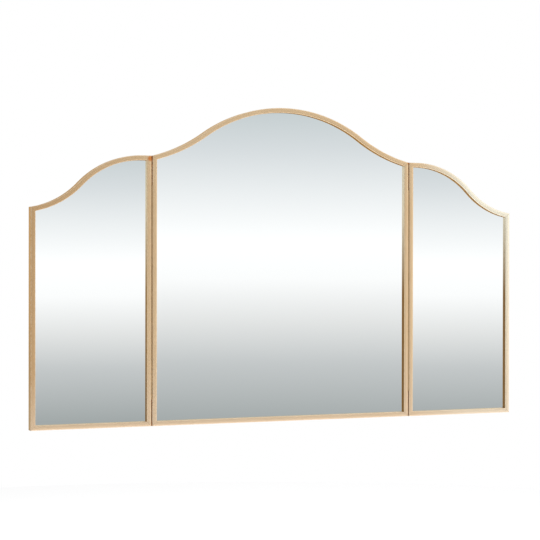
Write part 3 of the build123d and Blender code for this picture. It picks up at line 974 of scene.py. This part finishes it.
def screw(name, head_outline, shank_radius, length, recess):
    head_bottom = head_outline[-1][1]
    body = lathed(name, head_outline + thread(shank_radius, head_bottom - 0.1 * MM, -length))
    punch = cross_cutter(*recess)
    cut = body.modifiers.new("cross", "BOOLEAN")
    cut.object = punch
    cut.operation = "DIFFERENCE"
    cut.solver = "EXACT"
    made = frozen(body, name)
    bpy.data.objects.remove(punch)
    return made


def pan_head(radius, height):
    """A low dome over a short straight side, and a flat seat."""
    dome = 0.65 * height
    angles = [math.radians(a) for a in (0, 18, 36, 54, 72, 90)]
    outline = [(radius * math.sin(a), -dome * (1 - math.cos(a))) for a in angles]
    return outline + [(radius, -height), (0.6 * radius, -height)]


def countersunk_head(radius, neck, depth):
    """A flat head with a small rim over a cone."""
    edge = 0.05 * MM
    rim = 0.12 * MM
    top = [(0, 0), (0.55 * radius, 0), (radius - edge, 0)]
    return top + [(radius, -edge), (radius, -rim), (neck, -depth)]


def size_of_first(node):
    low, high = separate_boxes(node)[0]
    return high - low


# each cross is given by how far its arms reach, how wide they are and how deep the punch goes
SMALL_CROSS = (1.0 * MM, 0.4 * MM, 0.5 * MM)
CLIP_CROSS = (1.2 * MM, 0.45 * MM, 0.55 * MM)
HANGER_CROSS = (1.3 * MM, 0.45 * MM, 0.7 * MM)
CLIP_SHANK = 1.2 * MM
LEAF_SHANK = 1.1 * MM
SMALL_HEAD = 0.9 * MM
HANGER_HEAD = 1.3 * MM
size = size_of_first("centre_clip_screws")
pan_screw = screw("pan_screw", pan_head(size.x / 2, SMALL_HEAD), CLIP_SHANK, size.y, CLIP_CROSS)
size = size_of_first("right_hinge_wing_leaf_screws")
head = countersunk_head(size.y / 2, LEAF_SHANK, SMALL_HEAD)
leaf_screw = screw("leaf_screw", head, LEAF_SHANK, size.x, SMALL_CROSS)
size = size_of_first("hanger_plate_screws")
head = countersunk_head(size.x / 2, CLIP_SHANK, HANGER_HEAD)
hanger_screw = screw("hanger_screw", head, CLIP_SHANK, size.y, HANGER_CROSS)
print("screw faces:", [len(made.data.polygons) for made in (pan_screw, leaf_screw, hanger_screw)])

# %% [markdown]
# A clip is a strip of sheet steel, bent twice: one foot lies on the rail under the screw, the web drops
# beside the rail, and the toe presses on the board. The bends are round in sheet metal, so the middle line
# of the strip is drawn with rounded bends and given its thickness on both sides.


# %% Bend a clip
CLIP_TOE = 9 * MM
CLIP_THICKNESS = 1.0 * MM
CLIP_BEND = 0.9 * MM
CLIP_ROUND = 0.12 * MM
BUMPER_ROUND = 0.5 * MM


def bent_clip(run, rise, width):
    """A board clip with X into the panel, Y to the wall and Z along the rail."""
    half = CLIP_THICKNESS / 2
    web = run - CLIP_TOE + half
    top = rise - half
    low = half
    line = [Vector((0, top)), Vector((web, top)), Vector((web, low)), Vector((run, low))]
    smooth = [line[0]]
    for before, corner, after in zip(line, line[1:], line[2:]):
        arrive = corner + (before - corner).normalized() * CLIP_BEND
        leave = corner + (after - corner).normalized() * CLIP_BEND
        for share in np.linspace(0, 1, 6):
            smooth.append(arrive.lerp(corner, share).lerp(corner.lerp(leave, share), share))
    smooth.append(line[-1])
    along = [(b - a).normalized() for a, b in zip(smooth, smooth[1:])]
    along = [along[0]] + [(a + b).normalized() for a, b in zip(along, along[1:])] + [along[-1]]
    rows = [p + side * half * Vector((-t.y, t.x)) for side in (1, -1) for p, t in zip(smooth, along)]
    outline = rows[: len(smooth)] + rows[: len(smooth) - 1 : -1]
    ends = [[(p.x, p.y, z) for p in outline] for z in (-width / 2, width / 2)]
    made = spanned("bent_strip", *ends)
    rounding = made.modifiers.new("edges", "BEVEL")
    rounding.width = CLIP_ROUND
    rounding.segments = 2
    rounding.limit_method = "ANGLE"
    return frozen(made, "board_clip")


def clip_place(points):
    """Where a clip's foot starts, which way its toe points, and its size, from the points of its solid."""
    middle_y = (points[:, 1].min() + points[:, 1].max()) / 2
    foot = points[points[:, 1] > middle_y + MM].mean(0)
    toe = points[points[:, 1] < middle_y - MM].mean(0)
    inward = np.array([toe[0] - foot[0], toe[2] - foot[2]])
    inward /= np.linalg.norm(inward)
    across = np.array([-inward[1], inward[0]])
    flat = points[:, [0, 2]]
    run = flat @ inward
    side = flat @ across
    start = run.min() * inward + (side.min() + side.max()) / 2 * across
    spot = (start[0], points[:, 1].min(), start[1])
    size = (np.ptp(run), np.ptp(points[:, 1]), np.ptp(side))
    return spot, (0, math.atan2(-inward[1], inward[0]), 0), size


def rounded_block(name, size, rounding):
    """A moulded block about its own middle, with all its edges rounded."""
    work = bmesh.new()
    bmesh.ops.create_cube(work, size=1.0)
    bmesh.ops.scale(work, vec=size, verts=work.verts)
    bmesh.ops.bevel(work, geom=work.edges, offset=rounding, segments=3, profile=0.5, affect="EDGES")
    mesh = bpy.data.meshes.new(name)
    work.to_mesh(mesh)
    work.free()
    tidy_mesh(mesh)
    return in_scene(name, mesh)


clip_size = clip_place(separate_solids("left_wing_board_clips")[0])[2]
board_clip = bent_clip(*clip_size)
bumper = rounded_block("bumper", size_of_first("left_wing_bumpers"), BUMPER_ROUND)
print("clip size", [round(c / MM, 1) for c in clip_size], "mm")

# %% [markdown]
# The tree that places them takes the points from the object it runs on, and the way each piece faces from
# an attribute there.

# %% The placing tree in Geometry Nodes
tree, given, result = new_group(
    "Fixed at places",
    "GeometryNodeTree",
    [
        ("Places", "Geometry", None),
        ("Piece", "Object", None),
        ("Largest turn", "Float", 0.0),
        ("Seed", "Int", 7),
        ("Material", "Material", None),
    ],
    [("Fixed pieces", "Geometry")],
)
piece = add(tree, "GeometryNodeObjectInfo", {"Object": given["Piece"]}).outputs["Geometry"]
facing = out_of(tree, "FunctionNodeEulerToRotation", {0: kept(tree, "facing", "FLOAT_VECTOR")})
chance = add(tree, "FunctionNodeRandomValue", {3: given["Largest turn"], 8: given["Seed"]}, data_type="FLOAT")
spin = {"Axis": (0, 0, 1), "Angle": chance.outputs[1]}
turn = out_of(tree, "FunctionNodeAxisAngleToRotation", spin)
turned = out_of(tree, "FunctionNodeRotateRotation", {0: facing, 1: turn}, rotation_space="LOCAL")
placing = {"Points": given["Places"], "Instance": piece, "Rotation": turned}
placed = out_of(tree, "GeometryNodeInstanceOnPoints", placing)
placed = out_of(tree, "GeometryNodeRealizeInstances", {"Geometry": placed})
placed = out_of(tree, "GeometryNodeSetMaterial", {"Geometry": placed, "Material": given["Material"]})
tree.links.new(placed, result.inputs[0])
placing_tree = tree


def fix_at_places(node, piece, spots, finish, body, largest_turn=0.0):
    """Puts a piece at every spot, each a point and an Euler turn, in the place of a node."""
    places = line_object("places", [point for point, _ in spots])
    facing_way = places.data.attributes.new("facing", "FLOAT_VECTOR", "POINT")
    facing_way.data.foreach_set("vector", [angle for _, turn in spots for angle in turn])
    modifier = places.modifiers.new("placing", "NODES")
    modifier.node_group = placing_tree
    set_inputs(modifier, {"Piece": piece, "Largest turn": largest_turn, "Material": finish})
    made = frozen(places, f"{node}_fixed")
    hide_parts(node)
    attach(made, body)
    return made


print("placing tree has", len(placing_tree.nodes), "nodes")

# %% [markdown]
# Clips and bumpers sit square. Only the screws turn, by up to a quarter, since a cross looks the same after
# that. The one piece that was copied to every place is removed at the end.

# %% Put the clips, the bumpers and the screws in
QUARTER = math.pi / 2
TO_WALL = (-QUARTER, 0, 0)


def wall_spots(node):
    """The middle of each screw's head, on its side towards the wall."""
    boxes = separate_boxes(node)
    return [(((low.x + high.x) / 2, high.y, (low.z + high.z) / 2), TO_WALL) for low, high in boxes]


def leaf_spots(node, axis_x):
    """The middle of each head in a hinge leaf. The heads face the axis of the hinge."""
    spots = []
    for low, high in separate_boxes(node):
        towards = 1 if (low.x + high.x) / 2 < axis_x else -1
        head_x = high.x if towards > 0 else low.x
        spots.append(((head_x, (low.y + high.y) / 2, (low.z + high.z) / 2), (0, towards * QUARTER, 0)))
    return spots


fixed = []
for body in ("centre", "left_wing", "right_wing"):
    node = f"{body}_board_clips"
    spots = [clip_place(points)[:2] for points in separate_solids(node)]
    fixed.append(fix_at_places(node, board_clip, spots, zinc_plate, body))
    node = f"{body}_bumpers"
    spots = [((low + high) / 2, (0, 0, 0)) for low, high in separate_boxes(node)]
    fixed.append(fix_at_places(node, bumper, spots, bumper_rubber, body))
    node = f"{body}_clip_screws"
    fixed.append(fix_at_places(node, pan_screw, wall_spots(node), screw_steel, body, QUARTER))
for side, axis_x in (("left", -HINGE_AXIS), ("right", HINGE_AXIS)):
    for leaf, body in (("centre_leaf", "centre"), ("wing_leaf", f"{side}_wing")):
        node = f"{side}_hinge_{leaf}_screws"
        spots = leaf_spots(node, axis_x)
        fixed.append(fix_at_places(node, leaf_screw, spots, screw_steel, body, QUARTER))
node = "hanger_plate_screws"
fixed.append(fix_at_places(node, hanger_screw, wall_spots(node), screw_steel, "centre", QUARTER))
for used in (pan_screw, leaf_screw, hanger_screw, board_clip, bumper):
    bpy.data.objects.remove(used)
print("sets:", len(fixed), "faces:", sum(len(f.data.polygons) for f in fixed))

# %% [markdown]
# The solids that still show are the glasses, boards, hinge leaves, pins and hanger plates. They are already
# right, so they only get a finish in their material slots. What the others are given stays out of sight.

# %% Dress the solids
FINISHES = {
    "_pin": pin_steel,
    "backing_board": hardboard,
    "_leaf": hinge_brass,
    "hanger_plate": zinc_plate,
}


def finish_for(node):
    """The finish of the part of a name that fits, or the glass's own, or else the frame's."""
    fitting = [finish for part, finish in FINISHES.items() if part in node]
    return glass_finishes.get(node) or (fitting + [champagne])[0]


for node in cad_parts:
    solid = bpy.data.objects[node]
    solid.data.materials.clear()
    solid.data.materials.append(finish_for(node))
print("dressed", len(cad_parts), "solids")
